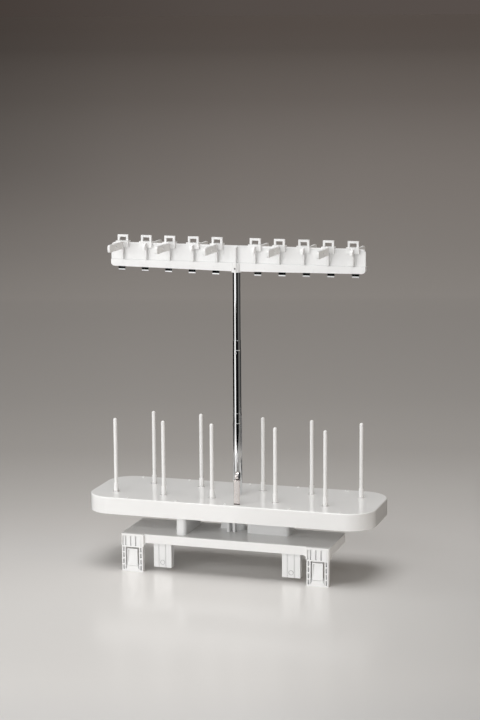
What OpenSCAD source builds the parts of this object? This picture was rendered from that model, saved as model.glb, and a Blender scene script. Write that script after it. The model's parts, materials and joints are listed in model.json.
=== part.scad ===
// Ten-spool thread stand: a tray with spool pins on a latch-on bracket,
// and a telescopic mast that carries a row of thread guides.
// Millimetres, +Z up, front at -Y. The origin lies on the resting surface, under the mast axis.

/* [Tray] */
// Width of the tray along X
tray_w = 383; // [370:1:420]
// Depth of the tray along Y
tray_d = 125; // [125:1:150]
// Height of the tray's rim
tray_h = 22; // [18:0.5:26]
// Corner radius of the tray's outline
tray_r = 35; // [20:1:45]
// Radius of the tray's upper edge
tray_edge_r = 1.6; // [0.6:0.1:2.4]
// Thickness of the tray's top
tray_top_t = 3; // [2:0.1:4]
// Thickness of the tray's rim
tray_wall = 2.6; // [2:0.1:4]
// Height of the tray's upper face above the floor
tray_z = 96.5; // [90:0.1:110]
// Thickness of the ribs under the tray
tray_rib_t = 1.8; // [1.2:0.1:2.6]
// Depth of the ribs under the tray's top
tray_rib_h = 10; // [8:0.5:12]
// Distance of the cross ribs from the mast axis
tray_rib_x = 66; // [62:0.5:70]

/* [Spool pins] */
// Distance between neighbouring pins along X
pin_pitch = 33; // [30:0.5:35]
// Distance of the innermost pins from the mast axis along X
pin_first_x = 26; // [24:0.5:30]
// Distance of each row of pins from the mast axis along Y
pin_row_y = 28; // [24:0.5:32]
// Diameter of a pin
pin_d = 5; // [4:0.1:6]
// Height of a pin above the tray
pin_h = 98; // [80:1:110]
// Diameter of the collar at a pin's foot
pin_collar_d = 6.2; // [5.4:0.1:7.5]
// Height of the collar above the tray
pin_collar_h = 11.5; // [6:0.5:16]
// Diameter of the round seat around a pin
pin_seat_d = 9.4; // [8.6:0.1:11]
// Depth of the round seat
pin_seat_depth = 1.4; // [0.4:0.1:1.6]
// Diameter of the spigot below the collar
pin_spigot_d = 4.4; // [3.6:0.1:5]
// Length of the spigot
pin_spigot_len = 11; // [8:0.5:12]
// Diameter of the boss around a spigot, under the tray
pin_boss_d = 11; // [9:0.5:14]

/* [Mast] */
// Outside diameter of the lower tube
mast_d = 12; // [11:0.1:14]
// Wall of each tube
tube_wall = 0.42; // [0.35:0.01:0.6]
// Radial clearance between two tubes
tube_gap = 0.08; // [0.04:0.01:0.1]
// Length of the lower tube that shows above the tray
lower_show = 107.8; // [105:0.1:125]
// Length of the middle tube that shows when drawn out
middle_show = 95.4; // [80:0.1:100]
// Length of the upper tube that shows when drawn out
upper_show = 87.7; // [70:0.1:92]
// Length by which drawn-out tubes still overlap
tube_overlap = 26; // [20:1:34]
// Length of the narrowed neck at a tube's top
neck_len = 12.5; // [8:0.5:16]
// Radial depth of the neck
neck_step = 0.16; // [0.05:0.01:0.2]
// Length of a stop plug's spigot inside its tube
plug_spigot = 9; // [6:0.5:12]
// Height of a stop plug's foot below its tube
plug_foot = 4; // [3:0.5:6]
// Diameter of the click dimple in a tube
dimple_d = 2; // [1:0.1:3]
// Distance of the click dimple below its tube's top
dimple_drop = 16.5; // [14:0.5:20]
// Length of the threaded insert in the lower tube's foot
insert_len = 14; // [10:0.5:18]
// Diameter of the mast's screw
mast_screw_d = 5; // [4:0.5:6]
// Length of the mast's screw below its head
mast_screw_len = 16; // [14:0.5:20]
// Diameter of the mast screw's head
mast_head_d = 9; // [8:0.5:11]
// Height of the mast screw's head
mast_head_h = 3; // [2:0.5:4]
// Diameter of the mast's washer
washer_d = 11; // [10:0.5:14]
// Thickness of the mast's washer
washer_t = 1.2; // [0.8:0.1:1.6]

/* [Mast socket] */
// Outside diameter of the socket below the tray
socket_d = 20; // [17:0.5:24]
// Thickness of the socket's floor
socket_floor = 3; // [2:0.5:5]
// Thickness of the socket's front ribs
socket_rib_t = 3.4; // [2:0.1:5]
// Distance between the socket's two front ribs
socket_rib_gap = 8; // [6:0.5:12]
// How far the front ribs reach from the mast axis
socket_rib_reach = 17.5; // [14:0.5:22]
// Reach of the socket's slanted side rib at its foot
side_rib_foot = 24; // [18:0.5:28]
// Reach of the slanted side rib at its head
side_rib_head = 15; // [11:0.5:17]

/* [Guide bar] */
// Length of the guide bar
bar_len = 339; // [331:1:370]
// Height of the bar's web above its rail
web_h = 22.2; // [20:0.2:28]
// Thickness of the web
web_t = 2.6; // [2:0.1:3.4]
// Corner radius of the web
web_r = 6; // [3:0.5:8]
// Height of the thicker rim along the web's top
bar_rim_h = 2; // [1:0.1:3]
// Thickness of that rim
bar_rim_t = 4.2; // [3.6:0.1:5]
// Height of the rail at the middle of the bar
rail_h = 10.8; // [10.5:0.1:14]
// Height of the rail at its ends
rail_end_h = 8.6; // [7:0.1:10]
// Depth of the rail in front of the mast axis
rail_front = 3.2; // [2.6:0.1:5]
// Depth of the rail behind the mast axis
rail_back = 6; // [5:0.1:8]
// Corner radius at the rail's lower ends
rail_r = 4.5; // [2:0.5:6]
// Wall left around the rail's hollows
rail_wall = 2; // [1.4:0.1:2.6]
// Outside diameter of the mast socket in the bar
hub_d = 13; // [12.4:0.1:15]
// How far the hub reaches below the rail
hub_drop = 1.2; // [0.6:0.1:3]
// Thickness of the rib along the hub and the web
hub_rib_t = 3; // [2.8:0.1:5]
// How far that rib reaches in front of the mast axis
hub_rib_reach = 7.2; // [6.6:0.1:9]
// Diameter of the small screw in the hub
hub_screw_d = 2.2; // [1.8:0.1:2.4]
// Height of that screw above the hub's lower end
hub_screw_z = 5; // [4:0.5:8]

/* [Thread guides] */
// Distance between neighbouring guides
guide_pitch = 32; // [30:0.5:34]
// Distance of the innermost guides from the mast axis
guide_first_x = 25.4; // [22:0.2:28]
// Width of a guide's saddle
saddle_w = 17; // [15.5:0.5:19]
// Depth of the saddle in front of the bar's middle
saddle_front = 5; // [4:0.1:6]
// Depth of the saddle behind the bar's middle
saddle_back = 4.5; // [4:0.1:6]
// Height of the saddle above the bar
saddle_rise = 2; // [1.4:0.1:3]
// Height of the saddle below the bar's top
saddle_skirt = 6; // [5:0.1:8]
// Outside width of the thread eye
eye_w = 14.2; // [13:0.1:15.4]
// Height of the thread eye's frame above the saddle
eye_h = 7.8; // [7:0.1:10]
// Width of the eye's opening
eye_open_w = 8.8; // [7:0.1:9.4]
// Height of the eye's opening
eye_open_h = 5; // [4.4:0.1:5.2]
// Thickness of the eye's frame along Y
eye_t = 3; // [2:0.1:4]
// Width of the fin in front of the web
fin_w = 3.5; // [2.5:0.1:5]
// How far the fin reaches in front of the bar's middle
fin_reach = 6.6; // [5.4:0.1:8]
// Gap between the fin's foot and the rail
fin_foot_gap = 0.8; // [0.3:0.1:2]
// How far the rounded nose above a fin reaches in front of the bar's middle
nose_reach = 13; // [10:0.5:15]
// Height of the nose below the bar's top
nose_h = 8; // [7:0.1:9]
// Reach of a front arm from the bar's middle
front_arm_reach = 53; // [44:0.5:58]
// Reach of a rear arm from the bar's middle
rear_arm_reach = 55.5; // [44:0.5:58]
// Height of an arm
arm_h = 9.5; // [7:0.1:10]
// Thickness of an arm
arm_t = 3; // [2:0.1:4]
// Height of a front arm's top above the bar's top
front_arm_rise = 1.3; // [0:0.1:1.4]
// Height of a rear arm's top below the bar's top
rear_arm_drop = 1.9; // [0:0.1:3]
// Corner radius at an arm's tip
arm_tip_r = 3.4; // [1:0.1:3.4]
// Distance of the eyelet from the bar's middle
eyelet_y = 29; // [24:0.5:34]
// Diameter of the eyelet
eyelet_d = 3; // [2:0.1:4]

/* [Thread clips] */
// Width of a clip
clip_w = 9.4; // [7:0.1:11]
// Thickness of a clip's sheet
clip_t = 0.8; // [0.5:0.1:1]
// How far a clip hangs below the rail
clip_drop = 5; // [3.6:0.1:6]
// Diameter of the bead along a clip's lower edge
clip_bead_d = 2.4; // [1.8:0.1:3]
// How deep a clip's tab sits in the rail
clip_tab = 5; // [3:0.5:5.5]
// Distance of a clip from its guide, away from the mast
clip_shift = 2.7; // [0:0.1:4]
// Position of the clips behind the mast axis
clip_y = 1.6; // [1:0.1:2.4]

/* [Front thread guide] */
// Width of the strip
strip_w = 7.5; // [7:0.1:9]
// Width of the strip's rolled head
strip_head_w = 4.6; // [3.6:0.1:6]
// Thickness of the strip
strip_t = 0.8; // [0.6:0.1:1.2]
// Height of the strip above the tray
strip_h = 33; // [26:0.5:40]
// Outside diameter of the rolled head
strip_roll_d = 9.2; // [7:0.1:11]
// Position of the strip along X
strip_x = 15.6; // [13:0.1:20]
// Distance of the strip's front from the tray's front edge
strip_inset = 8.5; // [7:0.1:10]
// Length of the strip's foot under the tray
strip_foot = 15; // [13:0.5:17]
// Height of the boss that the foot is screwed to
strip_boss_h = 6; // [5:0.5:8]

/* [Bracket] */
// Width of the bracket
bracket_w = 279.4; // [272:0.1:300]
// Distance of the bracket's front from the mast axis
bracket_front = 59; // [58:0.5:60]
// Distance of the bracket's back from the mast axis
bracket_back = 21; // [20:0.5:30]
// Height of the bracket's upper face above the floor
bracket_z = 49.8; // [46:0.1:56]
// Thickness of the bracket's plate
bracket_t = 3; // [2.4:0.1:4]
// Height of the bracket's skirt
skirt_h = 11.3; // [9:0.1:13]
// Thickness of the skirt
skirt_t = 2.6; // [2:0.1:3.4]
// Corner radius of the bracket's outline
bracket_r = 4; // [3:0.5:6]
// Radius of the bracket's upper edge
bracket_edge_r = 0.8; // [0.4:0.1:1.5]
// Radius of the fillet between the front skirt and a leg
skirt_fillet = 6; // [3:0.5:8]
// Thickness of the ribs under the bracket
bracket_rib_t = 1.8; // [1.2:0.1:2.4]
// Height of the ribs under the bracket
bracket_rib_h = 3; // [2:0.5:6]
// Distance of the inner cross ribs from the mast axis
inner_rib_x = 18; // [14:0.5:20]
// Distance of the outer cross ribs from the mast axis
outer_rib_x = 71; // [69:0.5:71.5]
// Distance of the long rib in front of the mast axis
long_rib_y = 28; // [22:0.5:30]

/* [Risers] */
// Width of the left riser
left_riser_w = 13.6; // [12:0.1:16]
// Position of the left riser's middle along X
left_riser_x = -61.9; // [-66:0.1:-56]
// Distance of the left riser's front from the mast axis
left_riser_front = 49.5; // [46:0.5:52]
// Width of the right riser
right_riser_w = 56.6; // [50:0.5:60]
// Position of the right riser's middle along X
right_riser_x = 45.4; // [44:0.1:50]
// Distance of the right riser's front from the mast axis
right_riser_front = 17.5; // [14:0.5:22]
// Distance of both risers' backs behind the mast axis
riser_back = 16; // [14:0.5:18]
// Corner radius of the risers
riser_r = 4.5; // [3:0.5:5.5]
// Wall of the risers
riser_wall = 2.2; // [1.6:0.1:2.6]
// Distance of a riser's screws from its ends
riser_screw_inset = 12; // [10:0.5:14]
// Diameter of the holes that give access to the riser screws
access_d = 8.6; // [8:0.1:9]

/* [Front legs] */
// Width of a front leg
leg_w = 28.7; // [26:0.1:32]
// Depth of a front leg
leg_t = 7; // [6:0.1:9]
// How far a leg stands in front of the bracket's front skirt
leg_proud = 3; // [2:0.1:3.4]
// How far the bracket's cheeks stand out beside a leg
cheek_out = 1.2; // [0.6:0.1:2]
// Corner radius of the outer cheeks
cheek_r = 3; // [1:0.1:3.4]
// Height of a leg's head below the bracket's plate
leg_head_h = 12.8; // [11.5:0.1:15]
// Depth of a leg's head
leg_head_d = 12; // [10:0.1:14]
// Width of the window around the latch tongue
window_w = 18.2; // [16:0.1:19]
// Height of the window's sill above the floor
window_sill = 7.4; // [6:0.1:9]
// Distance of the window's top below the leg's head
window_drop = 1.8; // [1:0.1:3]
// Gap beside and above the latch tongue
tongue_gap = 2.1; // [1.4:0.1:2.4]
// Thickness of the latch tongue
tongue_t = 3; // [2.4:0.1:3.6]
// Depth of the wedge recess in the tongue's face
tongue_recess = 1.8; // [1:0.1:2]
// Width of the rim around that recess
tongue_rim = 1.5; // [1:0.1:2]
// Diameter of the hinge roll at the tongue's foot
tongue_roll_d = 3.2; // [2.8:0.1:3.6]
// Clearance around the hinge roll
tongue_clear = 0.3; // [0.2:0.05:0.4]
// Number of pockets along each rail of a leg
pocket_count = 4; // [3:1:5]
// Width of a pocket
pocket_w = 2; // [1.4:0.1:2.6]
// Depth of a pocket
pocket_depth = 3.6; // [1:0.1:4]
// Height of the bridge between two pockets
pocket_bridge = 2.1; // [1.2:0.1:2.6]
// Distance of the pockets from a rail's ends
pocket_end = 1.9; // [1.2:0.1:2.6]
// Width of the grooves in a leg's head
groove_w = 2; // [1:0.1:2.4]
// Depth of those grooves
groove_depth = 2.4; // [1:0.1:3]
// Distance between those grooves
groove_pitch = 6.9; // [6:0.1:7.4]
// Position of the middle groove to the left of a leg's middle
groove_shift = 2; // [0:0.1:2.4]
// Width of the recess between a leg's head and the cheek on its left
recess_w = 1.7; // [1:0.1:2]
// Height above the floor at which the slits beside the tongue's foot end
slit_low_z = 2.2; // [1.6:0.1:3]

/* [Guide posts and rear feet] */
// Width of an inner guide post
post_w = 24; // [20:0.5:26]
// Depth of a guide post
post_d = 10; // [8:0.5:12]
// Position of the guide posts along X
post_x = 86.5; // [86:0.5:90]
// Distance of a post's front from the mast axis
post_front = 51; // [48:0.5:54]
// Gap between a post and the floor
post_gap = 5.3; // [3:0.1:7]
// Width of the grooves in a post's face
post_groove_w = 1.6; // [1:0.1:2]
// Depth of those grooves
post_groove_depth = 0.8; // [0.4:0.1:1.5]
// Distance of the grooves from the post's middle
post_groove_x = 4.6; // [4.2:0.1:6]
// Diameter of the round mark on a post
post_mark_d = 6.6; // [5:0.1:7]
// Line width of the round mark
post_mark_line = 0.8; // [0.4:0.1:1.2]
// Height of the round mark above the post's foot
post_mark_h = 6.6; // [5:0.1:10]
// Width of a rear foot
foot_w = 16; // [12:0.5:18]
// Depth of a rear foot
foot_d = 12; // [10:0.5:14]
// Corner radius of a rear foot
foot_r = 2; // [1:0.1:4]
// Position of the rear feet along X
foot_x = 106; // [104:0.5:110]
// Distance of a foot's middle behind the mast axis
foot_y = 10; // [8:0.5:11]

/* [Screws] */
// Diameter of the small screws
screw_d = 3; // [2.6:0.1:3.2]
// Diameter of a small screw's head
screw_head_d = 6; // [5:0.1:6.4]
// Height of a small screw's head
screw_head_h = 2.2; // [1.8:0.1:2.6]
// Length of a small screw below its head
screw_len = 9; // [8:0.5:10]
// Diameter of the boss around a small screw
screw_boss_d = 7; // [6:0.1:8]

/* [Fits] */
// Radial clearance of pieces that are pushed into each other
push_fit = 0.04; // [0.02:0.01:0.08]
// Radial clearance of screws and loose seats
loose_fit = 0.15; // [0.1:0.01:0.25]

/* [Hidden] */
$fn = 48;
white = [0.93, 0.93, 0.91];
milk = [0.95, 0.95, 0.94];
chrome = [0.78, 0.79, 0.81];
steel = [0.55, 0.56, 0.58];
nylon = [0.86, 0.85, 0.8];
eps = 1;
groups = 5;
copies = 2 * groups;

// Heights, from the floor up
tray_low_z = tray_z - tray_h;
ceiling_z = tray_z - tray_top_t;
rib_low_z = ceiling_z - tray_rib_h;
plate_low_z = bracket_z - bracket_t;
skirt_low_z = bracket_z - skirt_h;
socket_floor_z = bracket_z + socket_floor;
lower_top_z = tray_z + lower_show;
middle_top_z = lower_top_z + middle_show;
hub_low_z = middle_top_z + upper_show;
rail_low_z = hub_low_z + hub_drop;
rail_top_z = rail_low_z + rail_h;
bar_top_z = rail_top_z + web_h;

// Tubes, from the outside in
tube_step = 2 * (tube_wall + tube_gap);
middle_d = mast_d - tube_step;
upper_d = middle_d - tube_step;
middle_low_z = lower_top_z - tube_overlap;
upper_low_z = middle_top_z - tube_overlap;
hub_h = hub_drop + rail_h;
hub_bore_len = hub_h - rail_wall;
upper_top_z = hub_low_z + hub_bore_len;

// Front legs and latches
leg_x = bracket_w / 2 - cheek_out - leg_w / 2;
leg_front_y = -bracket_front - leg_proud;
cheek_x = leg_w / 2 + cheek_out;
leg_head_z = plate_low_z - leg_head_h;
leg_head_w = leg_w - 2 * skirt_t;
window_top_z = leg_head_z - window_drop;
tongue_w = window_w - 2 * tongue_gap;
tongue_top_z = window_top_z - tongue_gap;
hinge_y = leg_front_y + leg_t / 2;
hinge_z = window_sill + tongue_roll_d / 2 + tongue_clear;
rail_w = (leg_w - window_w) / 2;

strip_y = -tray_d / 2 + strip_inset;
strip_screw_y = strip_y + strip_foot - screw_boss_d / 2;
strip_foot_z = ceiling_z - strip_boss_h;
socket_rib_x = [-socket_rib_gap, 0];
bracket_rib_x = [-outer_rib_x, -inner_rib_x, inner_rib_x, outer_rib_x];
riser_screws = concat(
    [for (y = [riser_screw_inset - left_riser_front, riser_back - riser_screw_inset]) [left_riser_x, y]],
    [for (side = [-1, 1]) [right_riser_x + side * (right_riser_w / 2 - riser_screw_inset), 0]]
);

// Number 1 is at the left end of the tray and of the bar
function side_of(i) = i <= groups ? -1 : 1;
function rank_of(i) = i <= groups ? groups - i : i - groups - 1;
function row_of(i) = i % 2 == 1 ? -1 : 1;
function pin_x(i) = side_of(i) * (pin_first_x + rank_of(i) * pin_pitch);
function guide_x(i) = side_of(i) * (guide_first_x + rank_of(i) * guide_pitch);
function clip_x(i) = guide_x(i) + side_of(i) * clip_shift;
function rail_low_at(x) = rail_low_z + (rail_h - rail_end_h) * abs(x) / (bar_len / 2);

// General shapes
module rounded_rect(w, d, r) {
    square([w - 2 * r, d], center = true);
    square([w, d - 2 * r], center = true);
    for (x = [-1, 1], y = [-1, 1])
        translate([x * (w / 2 - r), y * (d / 2 - r)]) circle(r);
}

module rounded_block(w, d, h, r) {
    linear_extrude(h) rounded_rect(w, d, r);
}

module edge_section(w, h, f) {
    square([w, h - f]);
    square([w - f, h]);
    translate([w - f, h - f]) circle(f);
}

module crowned_section(w, h, f) {
    edge_section(w / 2, h, f);
    mirror([1, 0]) edge_section(w / 2, h, f);
}

module crowned_block(w, d, h, r, f) {
    rotate([90, 0, 90]) linear_extrude(w - 2 * r, center = true) crowned_section(d, h, f);
    rotate([90, 0, 0]) linear_extrude(d - 2 * r, center = true) crowned_section(w, h, f);
    for (x = [-1, 1], y = [-1, 1])
        translate([x * (w / 2 - r), y * (d / 2 - r), 0])
            rotate_extrude() edge_section(r, h, f);
}

module along_x(length) {
    rotate([90, 0, 90]) linear_extrude(length, center = true) children();
}

module tube(outer_d, length, neck) {
    difference() {
        cylinder(d = outer_d, h = length);
        translate([0, 0, -eps]) cylinder(d = outer_d - 2 * tube_wall, h = length + 2 * eps);
        if (neck) translate([0, 0, length - neck_len]) difference() {
            cylinder(d = outer_d + eps, h = neck_len + eps);
            cylinder(d = outer_d - 2 * neck_step, h = neck_len + eps);
        }
    }
}

module small_screw(length = screw_len) {
    translate([0, 0, -screw_head_h]) cylinder(d = screw_head_d, h = screw_head_h);
    cylinder(d = screw_d, h = length);
}

module screw_hole(depth) {
    translate([0, 0, -eps]) cylinder(d = screw_d + 2 * loose_fit, h = depth + eps);
}

// Bracket and what stands on it
module bracket_shell() {
    depth = bracket_front + bracket_back;
    translate([0, (bracket_back - bracket_front) / 2, skirt_low_z]) difference() {
        crowned_block(bracket_w, depth, skirt_h, bracket_r, bracket_edge_r);
        translate([0, 0, -eps])
            rounded_block(bracket_w - 2 * skirt_t, depth - 2 * skirt_t,
                skirt_h - bracket_t + eps, bracket_r - skirt_t);
    }
}

module leg_pocket() {
    pocket_x = leg_head_w / 2 + loose_fit;
    translate([-pocket_x, leg_front_y - eps, leg_head_z - eps])
        cube([2 * pocket_x, leg_head_d + loose_fit + eps, leg_head_h + eps]);
    translate([-pocket_x - recess_w, leg_front_y - eps, leg_head_z - eps])
        cube([pocket_x, groove_depth + eps, leg_head_h + eps]);
}

module cheek_outline() {
    depth = leg_head_d + loose_fit + skirt_t;
    translate([-cheek_x, 0]) square([2 * cheek_x - cheek_r, depth]);
    translate([-cheek_x, cheek_r]) square([2 * cheek_x, depth - cheek_r]);
    translate([cheek_x - cheek_r, cheek_r]) circle(cheek_r);
}

module leg_cheeks() {
    wall_low_z = leg_head_z + loose_fit;
    difference() {
        translate([0, leg_front_y, wall_low_z]) linear_extrude(bracket_z - wall_low_z) cheek_outline();
        translate([0, leg_front_y + leg_head_d, plate_low_z - leg_head_h / 2])
            rotate([-90, 0, 0]) screw_hole(leg_head_d);
    }
}

module inner_fillet() {
    fillet_low_z = leg_head_z + loose_fit;
    size = min(skirt_fillet, skirt_low_z - fillet_low_z);
    translate([-cheek_x, -bracket_front, skirt_low_z]) rotate([-90, 0, 0]) linear_extrude(skirt_t)
        difference() {
            translate([-size, 0]) square(size);
            translate([-size, size]) circle(size);
        }
}

module bracket() {
    color(white) difference() {
        union() {
            bracket_shell();
            for (x = bracket_rib_x)
                translate([x - bracket_rib_t / 2, -bracket_front + skirt_t / 2, plate_low_z - bracket_rib_h])
                    cube([bracket_rib_t, bracket_front + bracket_back - skirt_t, bracket_rib_h]);
            translate([-bracket_w / 2 + skirt_t / 2, -long_rib_y, plate_low_z - bracket_rib_h])
                cube([bracket_w - skirt_t, bracket_rib_t, bracket_rib_h]);
            for (side = [0, 1]) mirror([side, 0, 0]) translate([leg_x, 0, 0]) {
                leg_cheeks();
                inner_fillet();
            }
        }
        for (side = [-1, 1]) translate([side * leg_x, 0, 0]) leg_pocket();
        for (p = riser_screws)
            translate([p[0], p[1], skirt_low_z]) cylinder(d = access_d, h = skirt_h + eps);
        translate([0, 0, skirt_low_z]) cylinder(d = mast_screw_d + 2 * loose_fit, h = skirt_h + eps);
    }
}

module riser(w, front, rib_w, rib_d) {
    depth = front + riser_back;
    height = rib_low_z - bracket_z;
    translate([0, (riser_back - front) / 2, bracket_z]) difference() {
        rounded_block(w, depth, height, riser_r);
        translate([0, 0, -eps]) linear_extrude(height - riser_wall + eps) difference() {
            rounded_rect(w - 2 * riser_wall, depth - 2 * riser_wall, riser_r - riser_wall);
            square([rib_w, rib_d], center = true);
        }
    }
}

module riser_holes() {
    for (p = riser_screws)
        translate([p[0], p[1], rib_low_z - riser_wall]) screw_hole(riser_wall + eps);
}

module left_riser() {
    color(white) difference() {
        translate([left_riser_x, 0, 0])
            riser(left_riser_w, left_riser_front, left_riser_w, riser_wall);
        riser_holes();
    }
}

module right_riser() {
    color(white) difference() {
        translate([right_riser_x, 0, 0])
            riser(right_riser_w, right_riser_front, riser_wall, tray_d);
        riser_holes();
    }
}

module mast_socket() {
    height = rib_low_z - bracket_z;
    color(white) translate([0, 0, bracket_z]) difference() {
        union() {
            cylinder(d = socket_d, h = height);
            for (x = socket_rib_x)
                translate([x - socket_rib_t / 2, -socket_rib_reach, 0])
                    cube([socket_rib_t, socket_rib_reach, height]);
            standing(-socket_rib_t / 2, socket_rib_t)
                polygon([[0, 0], [-side_rib_foot, 0], [-side_rib_head, height], [0, height]]);
        }
        translate([0, 0, socket_floor]) cylinder(d = mast_d + 2 * push_fit, h = height);
        translate([0, 0, -eps]) cylinder(d = mast_screw_d + 2 * loose_fit, h = height);
    }
}

// Front legs with their sprung latch tongues
module leg_frame() {
    shin_h = leg_head_z;
    difference() {
        union() {
            translate([-leg_w / 2, leg_front_y, 0]) cube([leg_w, leg_t, shin_h]);
            translate([-leg_head_w / 2, leg_front_y, 0])
                cube([leg_head_w, leg_t, plate_low_z]);
            translate([-leg_head_w / 2, leg_front_y, leg_head_z])
                cube([leg_head_w, leg_head_d, leg_head_h]);
        }
        leg_window();
        leg_rail_pockets();
        for (k = [-1:1])
            translate([k * groove_pitch - groove_shift - groove_w / 2, leg_front_y - eps, leg_head_z])
                cube([groove_w, groove_depth + eps, leg_head_h + eps]);
        translate([0, leg_front_y + leg_head_d, plate_low_z - leg_head_h / 2])
            rotate([90, 0, 0]) screw_hole(screw_len - skirt_t);
    }
}

module leg_window() {
    translate([-window_w / 2, leg_front_y - eps, hinge_z])
        cube([window_w, leg_t + 2 * eps, window_top_z - hinge_z]);
    translate([0, hinge_y, hinge_z]) rotate([0, 90, 0])
        cylinder(d = tongue_roll_d + 2 * tongue_clear, h = window_w, center = true);
    translate([-window_w / 2, leg_front_y - eps, window_sill])
        cube([window_w, leg_t / 2 + eps, hinge_z - window_sill]);
    for (side = [0, 1]) mirror([side, 0, 0]) standing(leg_front_y - eps, groove_depth + eps)
        polygon([[window_w / 2, window_sill + eps], [window_w / 2, slit_low_z],
                 [tongue_w / 2, window_sill], [tongue_w / 2, window_sill + eps]]);
}

module leg_rail_pockets() {
    step = (leg_head_z - 2 * pocket_end + pocket_bridge) / pocket_count;
    for (side = [-1, 1], k = [0:pocket_count - 1])
        translate([side * (window_w / 2 + rail_w / 2) - pocket_w / 2, leg_front_y - eps,
                   pocket_end + k * step])
            cube([pocket_w, pocket_depth + eps, step - pocket_bridge]);
}

module front_leg(side) {
    color(white) translate([side * leg_x, 0, 0]) leg_frame();
}

module tongue() {
    body_y = leg_front_y;
    recess_h = tongue_top_z - hinge_z - 2 * tongue_rim;
    difference() {
        union() {
            translate([-tongue_w / 2, body_y, hinge_z])
                cube([tongue_w, tongue_t, tongue_top_z - hinge_z]);
            translate([-tongue_w / 2, body_y, hinge_z - tongue_roll_d / 2])
                cube([tongue_w, leg_t / 2, tongue_roll_d / 2]);
            translate([0, hinge_y, hinge_z]) rotate([0, 90, 0])
                cylinder(d = tongue_roll_d, h = tongue_w, center = true);
        }
        translate([0, body_y, hinge_z + tongue_rim]) along_x(tongue_w - 2 * tongue_rim)
            polygon([[-eps, 0], [0, 0], [tongue_recess, recess_h], [-eps, recess_h]]);
    }
}

module latch(side) {
    color(white) translate([side * leg_x, 0, 0]) tongue();
}

module guide_post(side) {
    height = plate_low_z - post_gap;
    color(white) translate([side * post_x, -post_front, post_gap]) difference() {
        translate([-post_w / 2, 0, 0]) cube([post_w, post_d, height]);
        for (x = [-post_groove_x, post_groove_x])
            translate([x - post_groove_w / 2, -eps, -eps])
                cube([post_groove_w, post_groove_depth + eps, height + 2 * eps]);
        translate([0, 0, post_mark_h]) rotate([90, 0, 0]) difference() {
            cylinder(d = post_mark_d, h = 2 * post_groove_depth, center = true);
            cylinder(d = post_mark_d - 2 * post_mark_line, h = 3 * post_groove_depth, center = true);
        }
    }
}

module rear_foot(side) {
    color(white) translate([side * foot_x, foot_y, 0])
        rounded_block(foot_w, foot_d, plate_low_z, foot_r);
}

// Tray and spool pins
module tray_ribs() {
    inner_w = tray_w - tray_wall;
    inner_d = tray_d - tray_wall;
    for (y = [-pin_row_y, pin_row_y])
        translate([-inner_w / 2, y - tray_rib_t / 2, rib_low_z])
            cube([inner_w, tray_rib_t, tray_rib_h + eps]);
    for (x = [-tray_rib_x, tray_rib_x])
        translate([x - tray_rib_t / 2, -inner_d / 2, rib_low_z])
            cube([tray_rib_t, inner_d, tray_rib_h + eps]);
}

module tray_bosses() {
    for (i = [1:copies])
        translate([pin_x(i), row_of(i) * pin_row_y, rib_low_z])
            cylinder(d = pin_boss_d, h = tray_rib_h + eps);
    for (p = riser_screws)
        translate([p[0], p[1], rib_low_z]) cylinder(d = screw_boss_d, h = tray_rib_h + eps);
    translate([strip_x, strip_screw_y, strip_foot_z])
        cylinder(d = screw_boss_d, h = strip_boss_h + eps);
    translate([0, 0, rib_low_z]) cylinder(d = socket_d, h = tray_rib_h + eps);
}

module tray_holes() {
    for (i = [1:copies]) translate([pin_x(i), row_of(i) * pin_row_y, 0]) {
        translate([0, 0, tray_z - pin_seat_depth]) cylinder(d = pin_seat_d, h = pin_seat_depth + eps);
        translate([0, 0, rib_low_z - eps])
            cylinder(d = pin_spigot_d + 2 * push_fit, h = tray_z - rib_low_z + eps);
    }
    for (p = riser_screws) translate([p[0], p[1], rib_low_z]) screw_hole(screw_len);
    translate([strip_x, strip_screw_y, strip_foot_z]) screw_hole(strip_boss_h);
    translate([0, 0, rib_low_z - eps])
        cylinder(d = mast_d + 2 * push_fit, h = tray_z - rib_low_z + 2 * eps);
    translate([strip_x - strip_w / 2 - loose_fit, strip_y - loose_fit, strip_foot_z - eps])
        cube([strip_w + 2 * loose_fit, strip_t + 2 * loose_fit, tray_z - strip_foot_z + 2 * eps]);
}

module tray() {
    color(white) difference() {
        union() {
            translate([0, 0, tray_low_z]) difference() {
                crowned_block(tray_w, tray_d, tray_h, tray_r, tray_edge_r);
                translate([0, 0, -eps])
                    rounded_block(tray_w - 2 * tray_wall, tray_d - 2 * tray_wall,
                        tray_h - tray_top_t + eps, tray_r - tray_wall);
            }
            tray_ribs();
            tray_bosses();
        }
        tray_holes();
    }
}

module spool_pin(i) {
    foot_z = tray_z - pin_seat_depth;
    shaft_top = pin_h + pin_seat_depth - pin_d / 2;
    color(milk) translate([pin_x(i), row_of(i) * pin_row_y, foot_z]) {
        translate([0, 0, -pin_spigot_len]) cylinder(d = pin_spigot_d, h = pin_spigot_len + eps);
        cylinder(d = pin_collar_d, h = pin_seat_depth + pin_collar_h);
        cylinder(d = pin_d, h = shaft_top);
        translate([0, 0, shaft_top]) sphere(d = pin_d);
    }
}

module tray_screws() {
    color(steel) for (p = riser_screws)
        translate([p[0], p[1], rib_low_z - riser_wall]) small_screw();
}

module leg_screws() {
    color(steel) for (side = [-1, 1])
        translate([side * leg_x, leg_front_y + leg_head_d + loose_fit + skirt_t,
                   plate_low_z - leg_head_h / 2])
            rotate([90, 0, 0]) small_screw();
}

// Telescopic mast
module lower_tube() {
    color(chrome) translate([0, 0, socket_floor_z]) tube(mast_d, lower_top_z - socket_floor_z, true);
}

module mast_insert() {
    color(steel) translate([0, 0, socket_floor_z]) difference() {
        cylinder(d = mast_d - 2 * tube_wall - 2 * push_fit, h = insert_len);
        translate([0, 0, -eps])
            cylinder(d = mast_screw_d + 2 * push_fit, h = insert_len + 2 * eps);
    }
}

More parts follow.
